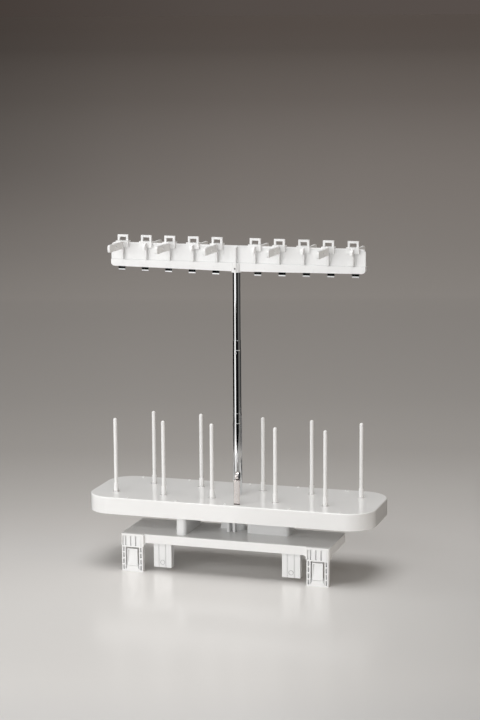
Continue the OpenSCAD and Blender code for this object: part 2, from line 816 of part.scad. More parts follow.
module mast_washer() {
    color(steel) translate([0, 0, plate_low_z - washer_t]) difference() {
        cylinder(d = washer_d, h = washer_t);
        translate([0, 0, -eps])
            cylinder(d = mast_screw_d + 2 * loose_fit, h = washer_t + 2 * eps);
    }
}

module mast_screw() {
    color(steel) translate([0, 0, plate_low_z - washer_t]) {
        cylinder(d = mast_screw_d, h = mast_screw_len);
        translate([0, 0, -mast_head_h]) cylinder(d = mast_head_d, h = mast_head_h);
    }
}

module stop_plug(tube_d, low_z) {
    color(nylon) translate([0, 0, low_z]) {
        translate([0, 0, -plug_foot]) cylinder(d = tube_d, h = plug_foot);
        cylinder(d = tube_d - 2 * tube_wall - 2 * push_fit, h = plug_spigot);
    }
}

module middle_tube() {
    length = middle_top_z - middle_low_z;
    color(chrome) translate([0, 0, middle_low_z]) difference() {
        tube(middle_d, length, true);
        translate([0, -middle_d / 2, length - dimple_drop]) rotate([90, 0, 0])
            cylinder(d = dimple_d, h = tube_wall, center = true);
    }
}

module middle_stop_plug() {
    stop_plug(middle_d, middle_low_z);
}

module upper_tube() {
    color(chrome) translate([0, 0, upper_low_z]) tube(upper_d, upper_top_z - upper_low_z, false);
}

module upper_stop_plug() {
    stop_plug(upper_d, upper_low_z);
}

// Guide bar
module web_outline() {
    translate([-bar_len / 2, 0]) square([bar_len, web_h - web_r]);
    translate([-bar_len / 2 + web_r, 0]) square([bar_len - 2 * web_r, web_h]);
    for (side = [-1, 1]) translate([side * (bar_len / 2 - web_r), web_h - web_r]) circle(web_r);
}

module rail_outline() {
    rise = rail_h - rail_end_h;
    intersection() {
        polygon([[-bar_len / 2, rise], [0, 0], [bar_len / 2, rise], [bar_len / 2, rail_h],
                 [-bar_len / 2, rail_h]]);
        translate([0, rise + rail_r]) {
            translate([-bar_len / 2, 0]) square([bar_len, rail_h]);
            translate([rail_r - bar_len / 2, -rail_h]) square([bar_len - 2 * rail_r, 2 * rail_h]);
            for (side = [-1, 1]) translate([side * (bar_len / 2 - rail_r), 0]) circle(rail_r);
        }
    }
}

module standing(y_front, depth) {
    translate([0, y_front + depth, 0]) rotate([90, 0, 0]) linear_extrude(depth) children();
}

module rail_hollows() {
    hollow_w = guide_pitch - clip_w - 4 * rail_wall;
    for (side = [-1, 1], k = [0:groups - 2])
        translate([side * (guide_first_x + clip_shift + (k + 0.5) * guide_pitch) - hollow_w / 2,
                   rail_wall - rail_front, rail_low_z - eps])
            cube([hollow_w, rail_front + rail_back - 2 * rail_wall, rail_h - rail_wall + eps]);
}

module guide_bar() {
    color(white) difference() {
        union() {
            translate([0, 0, rail_top_z]) {
                standing(-web_t / 2, web_t) web_outline();
                standing(-bar_rim_t / 2, bar_rim_t) difference() {
                    web_outline();
                    translate([-bar_len, -bar_rim_h]) square([2 * bar_len, web_h]);
                }
            }
            translate([0, 0, rail_low_z]) standing(-rail_front, rail_front + rail_back) rail_outline();
            translate([0, 0, hub_low_z]) cylinder(d = hub_d, h = hub_h);
            translate([-hub_rib_t / 2, -hub_rib_reach, hub_low_z])
                cube([hub_rib_t, hub_rib_reach, hub_h + web_h - bar_rim_h]);
        }
        rail_hollows();
        for (i = [1:copies])
            translate([clip_x(i) - clip_w / 2 - push_fit, clip_y - clip_t / 2 - push_fit, rail_low_z - eps])
                cube([clip_w + 2 * push_fit, clip_t + 2 * push_fit,
                      rail_low_at(clip_x(i)) - rail_low_z + clip_tab + eps]);
        translate([0, 0, hub_low_z - eps])
            cylinder(d = upper_d + 2 * push_fit, h = hub_bore_len + eps);
        translate([0, -hub_rib_reach - eps, hub_low_z + hub_screw_z]) rotate([-90, 0, 0])
            cylinder(d = hub_screw_d + 2 * push_fit, h = hub_rib_reach + eps);
    }
}

module guide_bar_screw() {
    length = hub_rib_reach - upper_d / 2 - 2 * push_fit;
    color(steel) translate([0, -upper_d / 2 - push_fit - length, hub_low_z + hub_screw_z])
        rotate([-90, 0, 0]) cylinder(d = hub_screw_d, h = length);
}

// Thread guides and clips, drawn from the middle of the bar's top
module arm_profile(root, reach, top) {
    low = top - arm_h;
    translate([root, low]) square([reach - root - arm_tip_r, arm_h]);
    translate([root, low + arm_tip_r]) square([reach - root, arm_h - 2 * arm_tip_r]);
    for (z = [low + arm_tip_r, top - arm_tip_r])
        translate([reach - arm_tip_r, z]) circle(arm_tip_r);
}

module guide_arm(reach, top) {
    root = bar_rim_t / 2 + push_fit;
    along_x(arm_t) difference() {
        arm_profile(root, reach, top);
        translate([eyelet_y, top - arm_h / 2]) circle(d = eyelet_d);
    }
}

module guide_fin() {
    back_y = -web_t / 2 - push_fit;
    foot_z = fin_foot_gap - web_h;
    translate([-fin_w / 2, -fin_reach, foot_z])
        cube([fin_w, fin_reach + back_y, -foot_z - saddle_skirt + eps]);
}

module guide_nose() {
    length = nose_reach - saddle_front;
    along_x(fin_w) translate([-saddle_front, -nose_h]) intersection() {
        scale([length, nose_h]) circle(1);
        translate([-length, 0]) square([length + saddle_front - bar_rim_t / 2 - push_fit, nose_h]);
    }
}

module thread_guide(i) {
    slot = bar_rim_t + 2 * push_fit;
    color(white) translate([guide_x(i), 0, bar_top_z]) difference() {
        union() {
            translate([-saddle_w / 2, -saddle_front, -saddle_skirt])
                cube([saddle_w, saddle_front + saddle_back, saddle_skirt + saddle_rise]);
            translate([-eye_w / 2, -eye_t / 2, 0]) cube([eye_w, eye_t, saddle_rise + eye_h]);
            guide_fin();
            if (row_of(i) < 0) mirror([0, 1, 0]) guide_arm(front_arm_reach, front_arm_rise);
            else {
                guide_arm(rear_arm_reach, -rear_arm_drop);
                guide_nose();
            }
        }
        translate([-saddle_w, -slot / 2, -web_h]) cube([2 * saddle_w, slot, web_h + push_fit]);
        translate([-eye_open_w / 2, -saddle_w, saddle_rise]) cube([eye_open_w, 2 * saddle_w, eye_open_h]);
    }
}

module thread_clip(i) {
    x = clip_x(i);
    low_z = rail_low_at(x) - clip_drop;
    color(chrome) translate([x, clip_y, low_z]) {
        translate([-clip_w / 2, -clip_t / 2, clip_bead_d / 2])
            cube([clip_w, clip_t, clip_drop + clip_tab - clip_bead_d / 2]);
        translate([0, (clip_t - clip_bead_d) / 2, clip_bead_d / 2]) rotate([0, 90, 0])
            cylinder(d = clip_bead_d, h = clip_w, center = true);
    }
}

module front_thread_guide() {
    shoulder_z = tray_z + strip_h;
    roll_z = shoulder_z + strip_roll_d / 2;
    color(chrome) translate([strip_x, strip_y, 0]) {
        translate([-strip_w / 2, 0, strip_foot_z - strip_t])
            cube([strip_w, strip_t, shoulder_z - strip_foot_z + strip_t]);
        translate([-strip_head_w / 2, 0, shoulder_z])
            cube([strip_head_w, strip_t, roll_z - shoulder_z]);
        difference() {
            translate([-strip_w / 2, 0, strip_foot_z - strip_t]) cube([strip_w, strip_foot, strip_t]);
            translate([0, strip_screw_y - strip_y, strip_foot_z - strip_t]) screw_hole(strip_t + eps);
        }
        translate([0, strip_roll_d / 2, roll_z]) rotate([0, 90, 0]) difference() {
            cylinder(d = strip_roll_d, h = strip_head_w, center = true);
            cylinder(d = strip_roll_d - 2 * strip_t, h = strip_head_w + 2 * eps, center = true);
            translate([0, -strip_roll_d / 2, -strip_w])
                cube([strip_roll_d, strip_roll_d, 2 * strip_w]);
        }
    }
}

module front_guide_screw() {
    color(steel) translate([strip_x, strip_screw_y, strip_foot_z - strip_t])
        small_screw(strip_boss_h);
}

bracket();
left_riser();
right_riser();
mast_socket();
front_leg(-1);  // left_front_leg
front_leg(1);  // right_front_leg
latch(-1);  // left_latch
latch(1);  // right_latch
guide_post(-1);  // left_guide_post
guide_post(1);  // right_guide_post
rear_foot(-1);  // left_rear_foot
rear_foot(1);  // right_rear_foot
tray();
tray_screws();
leg_screws();
lower_tube();
mast_insert();
mast_washer();
mast_screw();
middle_tube();
middle_stop_plug();
upper_tube();
upper_stop_plug();
guide_bar();
guide_bar_screw();
front_thread_guide();
front_guide_screw();
for (i = [1:copies]) {
    spool_pin(i);
    thread_guide(i);
    thread_clip(i);
}
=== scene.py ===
import json
import math
import bmesh
import bpy
from mathutils import Matrix, Vector


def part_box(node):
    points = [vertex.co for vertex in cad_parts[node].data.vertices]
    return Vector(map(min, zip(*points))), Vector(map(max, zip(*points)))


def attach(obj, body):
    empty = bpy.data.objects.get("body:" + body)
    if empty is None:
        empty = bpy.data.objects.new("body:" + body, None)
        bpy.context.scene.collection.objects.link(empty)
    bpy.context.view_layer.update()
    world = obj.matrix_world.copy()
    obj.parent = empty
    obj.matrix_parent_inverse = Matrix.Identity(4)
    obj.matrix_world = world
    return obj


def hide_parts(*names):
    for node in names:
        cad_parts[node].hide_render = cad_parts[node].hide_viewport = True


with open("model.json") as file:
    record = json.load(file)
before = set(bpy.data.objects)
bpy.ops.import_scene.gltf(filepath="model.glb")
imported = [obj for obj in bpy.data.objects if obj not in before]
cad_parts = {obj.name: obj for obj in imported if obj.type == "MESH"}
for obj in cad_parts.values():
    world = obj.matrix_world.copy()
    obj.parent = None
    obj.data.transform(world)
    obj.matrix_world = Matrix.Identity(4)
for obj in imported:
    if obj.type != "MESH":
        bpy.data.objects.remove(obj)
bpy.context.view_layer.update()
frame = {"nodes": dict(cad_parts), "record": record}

# Units and counts
MM = 0.001
COPIES = 10
HALF = COPIES // 2
PIECE_NUMBERS = range(1, COPIES + 1)
NODES = frame["nodes"]

# Camera, from the view of the photograph
CAMERA_PLACE = Vector((0.75655, -2.39067, 0.71387))
CAMERA_TARGET = Vector((0.00495, -0.00275, 0.27429))
CAMERA_ROLL = math.radians(-0.34)
CAMERA_LENS = 99.09
CAMERA_REACH = 1000.0
SENSOR_LONG_SIDE = 36.0
CAMERA_SIDE = math.atan2(CAMERA_PLACE.x, -CAMERA_PLACE.y)

# World: the light from all around, and the tones seen far off, by the side-step of the view
WORLD_COLOUR = (1.0, 0.95, 0.89, 1.0)
WORLD_STRENGTH = 0.12
DISTANCE_TONES = (
    (-0.12, (0.060, 0.048, 0.042)),
    (0.0, (0.088, 0.073, 0.065)),
    (0.12, (0.096, 0.079, 0.071)),
)

# Lamps
NEUTRAL = (1.0, 1.0, 1.0)
WARM = (1.0, 0.80, 0.63)
# Lamps far off: strength, apparent size, bearing right of the front and height in degrees, colour
SINGLE_LAMPS = (
    ("left", 0.30, 30, -90, 36, NEUTRAL),
    ("right", 0.28, 40, 85, 25, WARM),
    ("above", 1.70, 40, -12, 84, NEUTRAL),
)
# Rows of like lamps across the front: strength of each, size, bearings and height
LAMP_ROWS = (
    ("front_low", 0.182, 13, (-40, -26, -12, 2, 16), 11),
    ("front_upper", 0.11, 9, (-45, -30, -15, 0, 15), 30),
)
# One lamp near the left front: watts, size, place and aim
NEAR_LAMP_POWER = 1.8
NEAR_LAMP_SIZE = 0.5
NEAR_LAMP_PLACE = Vector((-0.60, -0.85, 0.30))
NEAR_LAMP_TARGET = Vector((0.0, 0.0, 0.3))

# Floor
FLOOR_RADIUS = 400.0
FLOOR_SIDES = 128
FLOOR_ROUGHNESS = 0.2
FLOOR_GLOSS = 0.35
# Distances ahead of the camera over which the gloss sets in and fades, and the nearest floor in view
FLOOR_GLOSS_START = (1.8, 2.2)
FLOOR_GLOSS_END = (2.5, 5.0)
FLOOR_NEAREST = 1.9
# Tones along the distance from the point under the camera: dark close by, where the table ends, then a
# painted pool of light in front of the stand that falls off into the distance
FLOOR_LIGHT_POOL = (
    (0.4, (0.26, 0.25, 0.24)),
    (0.9, (0.42, 0.41, 0.40)),
    (1.5, (0.66, 0.65, 0.635)),
    (1.92, (0.70, 0.69, 0.68)),
    (2.05, (0.78, 0.765, 0.745)),
    (2.36, (0.80, 0.785, 0.765)),
    (2.6, (0.74, 0.72, 0.70)),
    (2.87, (0.575, 0.555, 0.535)),
    (3.2, (0.435, 0.415, 0.395)),
    (3.65, (0.368, 0.349, 0.331)),
    (4.3, (0.321, 0.302, 0.285)),
    (4.96, (0.274, 0.256, 0.24)),
    (6.0, (0.242, 0.224, 0.209)),
    (7.7, (0.215, 0.196, 0.182)),
    (16.7, (0.143, 0.126, 0.115)),
    (39.7, (0.102, 0.087, 0.078)),
    (87.0, (0.097, 0.081, 0.072)),
)
# Shades across the view, by the side-step for each metre ahead, and the distances over which each sets in;
# the nearest row is painted shade to the right of the stand
FLOOR_PAINTED_SHADES = (
    ((0.0, 0.1), ((-0.5, 0.86), (-0.12, 0.95), (-0.05, 1.0), (0.0, 1.0), (0.06, 0.885), (0.12, 0.80),
                  (0.2, 0.75), (0.5, 0.72))),
    ((2.3, 2.95), ((-0.5, 0.84), (-0.12, 0.94), (-0.05, 1.0), (0.0, 1.0), (0.06, 0.99), (0.12, 0.96),
                   (0.5, 0.92))),
    ((3.2, 10.0), ((-0.5, 0.50), (-0.25, 0.56), (-0.12, 0.69), (-0.09, 0.78), (-0.06, 0.88), (0.0, 1.0),
                   (0.06, 1.05), (0.12, 1.04), (0.5, 0.95))),
)


# Small helpers
def midpoint(node):
    low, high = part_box(node)
    return (low + high) / 2


def foot_point(node):
    """The middle of a node's underside."""
    low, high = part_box(node)
    return Vector(((low.x + high.x) / 2, (low.y + high.y) / 2, low.z))


def link(obj):
    bpy.context.scene.collection.objects.link(obj)
    return obj


def mesh_object(name, vertices, faces):
    mesh = bpy.data.meshes.new(name)
    mesh.from_pydata(vertices, [], faces)
    mesh.update()
    return link(bpy.data.objects.new(name, mesh))


def smooth_by_angle(obj, degrees=32):
    obj.data.polygons.foreach_set("use_smooth", [True] * len(obj.data.polygons))
    obj.data.set_sharp_from_angle(angle=math.radians(degrees))


def dress(obj, material):
    obj.data.materials.clear()
    obj.data.materials.append(material)
    return obj


def arc(centre, radius, start, end, steps):
    """Points of an arc in a plane, from one angle to another, in degrees."""
    points = []
    for k in range(steps + 1):
        angle = math.radians(start + (end - start) * k / steps)
        points.append((centre[0] + radius * math.cos(angle), centre[1] + radius * math.sin(angle)))
    return points


def lathe(name, outline, place, sides):
    """Turns an outline of (radius, height) points about the vertical line through place."""
    vertices = []
    rings = []
    for radius, height in outline:
        if radius == 0:
            rings.append([len(vertices)])
            vertices.append((place.x, place.y, place.z + height))
            continue
        ring = []
        for k in range(sides):
            angle = 2 * math.pi * k / sides
            ring.append(len(vertices))
            vertices.append((place.x + radius * math.cos(angle), place.y + radius * math.sin(angle),
                             place.z + height))
        rings.append(ring)
    faces = []
    for low, high in zip(rings, rings[1:]):
        for k in range(sides):
            following = (k + 1) % sides
            if len(low) == 1:
                faces.append((low[0], high[following], high[k]))
            elif len(high) == 1:
                faces.append((low[k], low[following], high[0]))
            else:
                faces.append((low[k], low[following], high[following], high[k]))
    obj = mesh_object(name, vertices, faces)
    smooth_by_angle(obj)
    return obj


def ribbon(name, middle_line, thickness, width, place):
    """A bent sheet: a line of (y, z) points, thickened to both sides, with its width along X."""
    front = []
    back = []
    for k, point in enumerate(middle_line):
        before = Vector(middle_line[max(k - 1, 0)])
        after = Vector(middle_line[min(k + 1, len(middle_line) - 1)])
        along = (after - before).normalized()
        aside = Vector((-along.y, along.x)) * thickness / 2
        front.append(Vector(point) + aside)
        back.append(Vector(point) - aside)
    outline = front + back[::-1]
    count = len(outline)
    vertices = []
    for side in (-0.5, 0.5):
        for point in outline:
            vertices.append((place.x + side * width, place.y + point.x, place.z + point.y))
    faces = []
    for k in range(count):
        following = (k + 1) % count
        faces.append((k, following, count + following, count + k))
    last = len(middle_line) - 1
    for side in (0, count):
        for k in range(last):
            quad = (side + k, side + k + 1, side + count - 2 - k, side + count - 1 - k)
            faces.append(quad if side else quad[::-1])
    obj = mesh_object(name, vertices, faces)
    mesh = bmesh.new()
    mesh.from_mesh(obj.data)
    bmesh.ops.recalc_face_normals(mesh, faces=mesh.faces)
    mesh.to_mesh(obj.data)
    mesh.free()
    smooth_by_angle(obj)
    return obj


def round_edges(obj, width, segments=2, degrees=35):
    bevel = obj.modifiers.new("rounded_edges", "BEVEL")
    bevel.width = width
    bevel.segments = segments
    bevel.limit_method = "ANGLE"
    bevel.angle_limit = math.radians(degrees)
    bevel.use_clamp_overlap = True
    normals = obj.modifiers.new("even_normals", "WEIGHTED_NORMAL")
    normals.keep_sharp = False


def piece_for(obj, node, body):
    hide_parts(node)
    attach(obj, body)
    return obj


# Node helpers
NOISE_LOW = 0.3
NOISE_HIGH = 0.7


def new_material(name):
    material = bpy.data.materials.new(name)
    material.use_nodes = True
    return material, material.node_tree, material.node_tree.nodes["Principled BSDF"]


def add_node(tree, kind, **values):
    node = tree.nodes.new(kind)
    for key, value in values.items():
        setattr(node, key, value)
    return node


def calculate(tree, operation, first, second):
    """The result of a sum with a socket and either a second socket or a plain number."""
    node = add_node(tree, "ShaderNodeMath", operation=operation)
    tree.links.new(first, node.inputs[0])
    if isinstance(second, float):
        node.inputs[1].default_value = second
    else:
        tree.links.new(second, node.inputs[1])
    return node.outputs["Value"]


def noise(tree, scale, detail=2.0, stretch=(1.0, 1.0, 1.0)):
    """Noise in the object's own space: scale is in features per metre."""
    place = add_node(tree, "ShaderNodeTexCoord")
    mapping = add_node(tree, "ShaderNodeMapping")
    mapping.inputs["Scale"].default_value = stretch
    texture = add_node(tree, "ShaderNodeTexNoise")
    texture.inputs["Scale"].default_value = scale
    texture.inputs["Detail"].default_value = detail
    tree.links.new(place.outputs["Object"], mapping.inputs["Vector"])
    tree.links.new(mapping.outputs["Vector"], texture.inputs["Vector"])
    return texture.outputs["Fac"]


def ramp(tree, factor, stops):
    node = add_node(tree, "ShaderNodeValToRGB")
    elements = node.color_ramp.elements
    while len(elements) < len(stops):
        elements.new(0.5)
    for element, (position, colour) in zip(elements, stops):
        element.position = position
        element.color = (*colour, 1.0)
    tree.links.new(factor, node.inputs["Fac"])
    return node.outputs["Color"]


def tones_along(tree, value, stops):
    """Tones at given values, evened out between them."""
    first = stops[0][0]
    last = stops[-1][0]
    along = add_node(tree, "ShaderNodeMapRange")
    along.inputs["From Min"].default_value = first
    along.inputs["From Max"].default_value = last
    tree.links.new(value, along.inputs["Value"])
    return ramp(tree, along.outputs["Result"], [((at - first) / (last - first), tone) for at, tone in stops])


def between(tree, value, reach, low, high, kind="SMOOTHSTEP"):
    """A result that goes from low to high while the value crosses its reach."""
    node = add_node(tree, "ShaderNodeMapRange", interpolation_type=kind)
    node.inputs["From Min"].default_value = reach[0]
    node.inputs["From Max"].default_value = reach[1]
    node.inputs["To Min"].default_value = low
    node.inputs["To Max"].default_value = high
    tree.links.new(value, node.inputs["Value"])
    return node.outputs["Result"]


def spread(tree, factor, low, high):
    """A value between low and high that follows a noise."""
    return between(tree, factor, (NOISE_LOW, NOISE_HIGH), low, high, "LINEAR")


def blend(tree, kind, first, second, factor=None):
    node = add_node(tree, "ShaderNodeMix", data_type="RGBA", blend_type=kind)
    node.inputs["Factor"].default_value = 1.0
    if factor:
        tree.links.new(factor, node.inputs["Factor"])
    tree.links.new(first, node.inputs["A"])
    tree.links.new(second, node.inputs["B"])
    return node.outputs["Result"]


def bump(tree, height, distance, below=None):
    node = add_node(tree, "ShaderNodeBump")
    node.inputs["Strength"].default_value = 1.0
    node.inputs["Distance"].default_value = distance
    tree.links.new(height, node.inputs["Height"])
    if below:
        tree.links.new(below, node.inputs["Normal"])
    return node.outputs["Normal"]


def clouded(tree, cloud, tone, darkest, stops):
    """A tone that a noise darkens a little."""
    darker = tuple(channel * darkest for channel in tone)
    return ramp(tree, cloud, ((stops[0], darker), (stops[1], tone)))


# Plastic: flow shades, patches of gloss, grain and painted shade in creases, with scales in features per
# metre
FLOW_SCALE = 22
FLOW_STRETCH = (0.5, 1.0, 1.0)
FLOW_DARKEST = 0.975
FLOW_STOPS = (0.32, 0.68)
PATCH_SCALE = 160
PATCH_GAIN = 1.3
PATCH_STEP = 0.02
GRAIN_SCALE = 2600
GRAIN_HEIGHT = 0.006 * MM
WAVE_SCALE = 34
PLASTIC_IOR = 1.5
CREASE_SHADE_REACH = 1.6 * MM
CREASE_SHADE_SAMPLES = 8
CREASE_SHADE_TONES = ((0.15, (0.50, 0.50, 0.50)), (0.80, (1.0, 1.0, 1.0)))


def darken_creases(tree, colour):
    """Painted shade: grooves and inner corners a shade darker than the open faces, by how closed in they
    are.
    """
    crease_occlusion = add_node(tree, "ShaderNodeAmbientOcclusion", samples=CREASE_SHADE_SAMPLES, only_local=True)
    crease_occlusion.inputs["Distance"].default_value = CREASE_SHADE_REACH
    shade = ramp(tree, crease_occlusion.outputs["AO"], CREASE_SHADE_TONES)
    return blend(tree, "MULTIPLY", colour, shade)


def moulded_plastic(name, tone, roughness, wave=0.0, grain=GRAIN_HEIGHT, crease_shade=False):
    """Glossy moulded plastic: faint flow shades, a fine grain and, on wide faces, a slow wave."""
    material, tree, shader = new_material(name)
    flow = noise(tree, FLOW_SCALE, 3.0, FLOW_STRETCH)
    colour = clouded(tree, flow, tone, FLOW_DARKEST, FLOW_STOPS)
    # painted shade in grooves and inner corners
    if crease_shade:
        colour = darken_creases(tree, colour)
    tree.links.new(colour, shader.inputs["Base Color"])
    patches = noise(tree, PATCH_SCALE, 3.0)
    dullest = roughness * PATCH_GAIN + PATCH_STEP
    tree.links.new(spread(tree, patches, roughness, dullest), shader.inputs["Roughness"])
    normal = bump(tree, noise(tree, GRAIN_SCALE, 2.0), grain)
    if wave:
        normal = bump(tree, noise(tree, WAVE_SCALE, 1.0), wave, normal)
    tree.links.new(normal, shader.inputs["Normal"])
    shader.inputs["IOR"].default_value = PLASTIC_IOR
    return material


# Metal: faint clouds, streaks of gloss and fine lines along Z
CLOUD_SCALE = 90
CLOUD_STRETCH = (1.0, 1.0, 0.25)
CLOUD_DARKEST = 0.95
CLOUD_STOPS = (0.3, 0.7)
STREAK_SCALE = 420
STREAK_STRETCH = (1.0, 1.0, 0.1)
STREAK_STEP = 0.035
LINE_SCALE = 1800
LINE_STRETCH = (1.0, 1.0, 0.02)
LINE_HEIGHT = 0.0015 * MM
# Painted shade at the foot of the strip, dark just above the tray, by the share of its height
FOOT_SHADE_TONES = ((0.0, (0.09, 0.07, 0.065)), (0.7, (0.12, 0.09, 0.085)), (1.0, NEUTRAL))


def bright_metal(name, tone, roughness, lines=LINE_HEIGHT):
    """Plated metal: clear reflections with faint lines from drawing along Z."""
    material, tree, shader = new_material(name)
    cloud = noise(tree, CLOUD_SCALE, 3.0, CLOUD_STRETCH)
    tree.links.new(clouded(tree, cloud, tone, CLOUD_DARKEST, CLOUD_STOPS), shader.inputs["Base Color"])
    streaks = noise(tree, STREAK_SCALE, 2.0, STREAK_STRETCH)
    tree.links.new(spread(tree, streaks, roughness, roughness + STREAK_STEP), shader.inputs["Roughness"])
    drawn = noise(tree, LINE_SCALE, 1.0, LINE_STRETCH)
    tree.links.new(bump(tree, drawn, lines), shader.inputs["Normal"])
    shader.inputs["Metallic"].default_value = 1.0
    return material


def darken_foot(material, bottom, reach):
    """Painted shade just above a height, where a sheet comes out of its slot."""
    tree = material.node_tree
    shader = tree.nodes["Principled BSDF"]
    plain = shader.inputs["Base Color"].links[0].from_socket
    place = add_node(tree, "ShaderNodeTexCoord")
    parts = add_node(tree, "ShaderNodeSeparateXYZ")
    tree.links.new(place.outputs["Object"], parts.inputs["Vector"])
    painted_foot = tones_along(tree, parts.outputs["Z"], [(bottom + reach * at, tone) for at, tone in FOOT_SHADE_TONES])
    tree.links.new(blend(tree, "MULTIPLY", plain, painted_foot), shader.inputs["Base Color"])


# Finishes of the stand
WHITE = (0.86, 0.862, 0.86)
# the bar and thread guides get a brighter white than the rest: painted light, for the stronger light on
# these upper parts
BAR_LIT_WHITE = (0.91, 0.912, 0.91)
TRAY_WHITE = (0.86, 0.857, 0.848)
MILK = (0.875, 0.873, 0.865)
PLUG_TONE = (0.70, 0.68, 0.60)
CHROME_TONE = (0.86, 0.87, 0.88)
STRIP_TONE = (0.68, 0.64, 0.62)
HEAD_TONE = (0.80, 0.765, 0.75)
SCREW_TONE = (0.55, 0.56, 0.57)
DARK_TONE = (0.10, 0.10, 0.105)
TRAY_WAVE = 0.05 * MM
TRAY_GRAIN = 0.0008 * MM
PLUG_GRAIN = 0.012 * MM
STEEL_LINES = 0.004 * MM
STRIP_FOOT_SHADE = 1.6 * MM
white_plastic = moulded_plastic("white_plastic", WHITE, roughness=0.3, crease_shade=True)
tray_plastic = moulded_plastic("tray_plastic", TRAY_WHITE, roughness=0.06, wave=TRAY_WAVE, grain=TRAY_GRAIN)
lit_bar_plastic = moulded_plastic("lit_bar_plastic", BAR_LIT_WHITE, roughness=0.3, crease_shade=True)
pin_plastic = moulded_plastic("pin_plastic", MILK, roughness=0.26)
plug_plastic = moulded_plastic("plug_plastic", PLUG_TONE, roughness=0.5, grain=PLUG_GRAIN)
chrome = bright_metal("chrome", CHROME_TONE, roughness=0.03)
strip_metal = bright_metal("strip_metal", STRIP_TONE, roughness=0.2)
# painted shade at the strip's foot, just above the tray
darken_foot(strip_metal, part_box("tray")[1].z, STRIP_FOOT_SHADE)
head_metal = bright_metal("head_metal", HEAD_TONE, roughness=0.2)
screw_steel = bright_metal("screw_steel", SCREW_TONE, roughness=0.25, lines=STEEL_LINES)
# dark steel for the bar screw, and painted shade on the inner wall of the strip's rolled head
dark_steel_and_shade = bright_metal("dark_steel_and_shade", DARK_TONE, roughness=0.3, lines=STEEL_LINES)
SLOT_FINISH = {
    "white_plastic": white_plastic,
    "pin_plastic": pin_plastic,
    "bright_metal": chrome,
    "fastener_steel": screw_steel,
    "plug_plastic": plug_plastic,
}
SPECIAL_FINISH = {
    "tray": tray_plastic,
    "bracket": tray_plastic,
    "guide_bar": lit_bar_plastic,
    "guide_bar_screw": dark_steel_and_shade,
}
SPECIAL_FINISH.update({f"thread_guide_{number}": lit_bar_plastic for number in PIECE_NUMBERS})
SLOT_OF = {row["node"]: row["material_slot"] for row in frame["record"]["subparts"]}

# Carried-over solids: joined corners, soft edges and their finish
EDGE = 0.3 * MM
WELD_DISTANCE = 0.002 * MM
FLAT_ANGLE = math.radians(0.2)
ROUND_MARKED = ("left_guide_post", "right_guide_post")


def welding():
    """A node group that joins the split corners of a solid and shades it smooth."""
    group = bpy.data.node_groups.new("joined_and_smooth", "GeometryNodeTree")
    for way in ("INPUT", "OUTPUT"):
        group.interface.new_socket("Geometry", in_out=way, socket_type="NodeSocketGeometry")
    inlet = group.nodes.new("NodeGroupInput")
    outlet = group.nodes.new("NodeGroupOutput")
    joined = group.nodes.new("GeometryNodeMergeByDistance")
    joined.inputs["Distance"].default_value = WELD_DISTANCE
    smoothed = group.nodes.new("GeometryNodeSetShadeSmooth")
    group.links.new(inlet.outputs[0], joined.inputs["Geometry"])
    group.links.new(joined.outputs["Geometry"], smoothed.inputs["Geometry"])
    group.links.new(smoothed.outputs["Geometry"], outlet.inputs[0])
    return group


weld_group = welding()


def soften(node, merge_faces):
    """Joins the split corners of a solid, merges its flat faces and rounds its edges a little."""
    weld = node.modifiers.new("joined_and_smooth", "NODES")
    weld.node_group = weld_group
    if merge_faces:
        flat = node.modifiers.new("flat_faces", "DECIMATE")
        flat.decimate_type = "DISSOLVE"
        flat.angle_limit = FLAT_ANGLE
    round_edges(node, EDGE)


for name, node in NODES.items():
    for slot in node.material_slots:
        slot.link = "OBJECT"
        slot.material = SPECIAL_FINISH.get(name, SLOT_FINISH[SLOT_OF[name]])
    soften(node, name not in ROUND_MARKED)

# Spool pins
PIN_RADIUS = 2.5 * MM
PIN_COLLAR_HEIGHT = 11.5 * MM
PIN_SPIGOT_RADIUS = 2.2 * MM
PIN_SPIGOT_LENGTH = 11.0 * MM
PIN_FILLET = 0.5 * MM
PIN_FILLET_TURN = 80
PIN_FILLET_STEPS = 5
PIN_DOME_TURN = 81
PIN_DOME_STEPS = 9
PIN_SIDES = 48


def spool_pin(number):
    name = f"spool_pin_{number}"
    low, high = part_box(name)
    collar_radius = (high.x - low.x) / 2
    collar_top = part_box("tray")[1].z + PIN_COLLAR_HEIGHT - low.z
    dome = high.z - low.z - PIN_RADIUS
    outline = [(0, 0), (PIN_SPIGOT_RADIUS, 0), (PIN_SPIGOT_RADIUS, PIN_SPIGOT_LENGTH)]
    outline += [(collar_radius, PIN_SPIGOT_LENGTH)]
    outline += arc((collar_radius - PIN_FILLET, collar_top - PIN_FILLET), PIN_FILLET, 0, PIN_FILLET_TURN,
                   PIN_FILLET_STEPS)
    outline += [(PIN_RADIUS, collar_top)]
    outline += arc((0, dome), PIN_RADIUS, 0, PIN_DOME_TURN, PIN_DOME_STEPS)
    outline += [(0, dome + PIN_RADIUS)]
    obj = lathe(f"pin_{number}", outline, foot_point(name), PIN_SIDES)
    dress(obj, pin_plastic)
    return piece_for(obj, name, "base")


for number in PIECE_NUMBERS:
    spool_pin(number)

# Telescopic mast
TUBE_WALL = 0.42 * MM
TUBE_SIDES = 128
NECK_LENGTH = 12.5 * MM
NECK_STEP = 0.22 * MM
NECK_SLOPE = 0.7 * MM
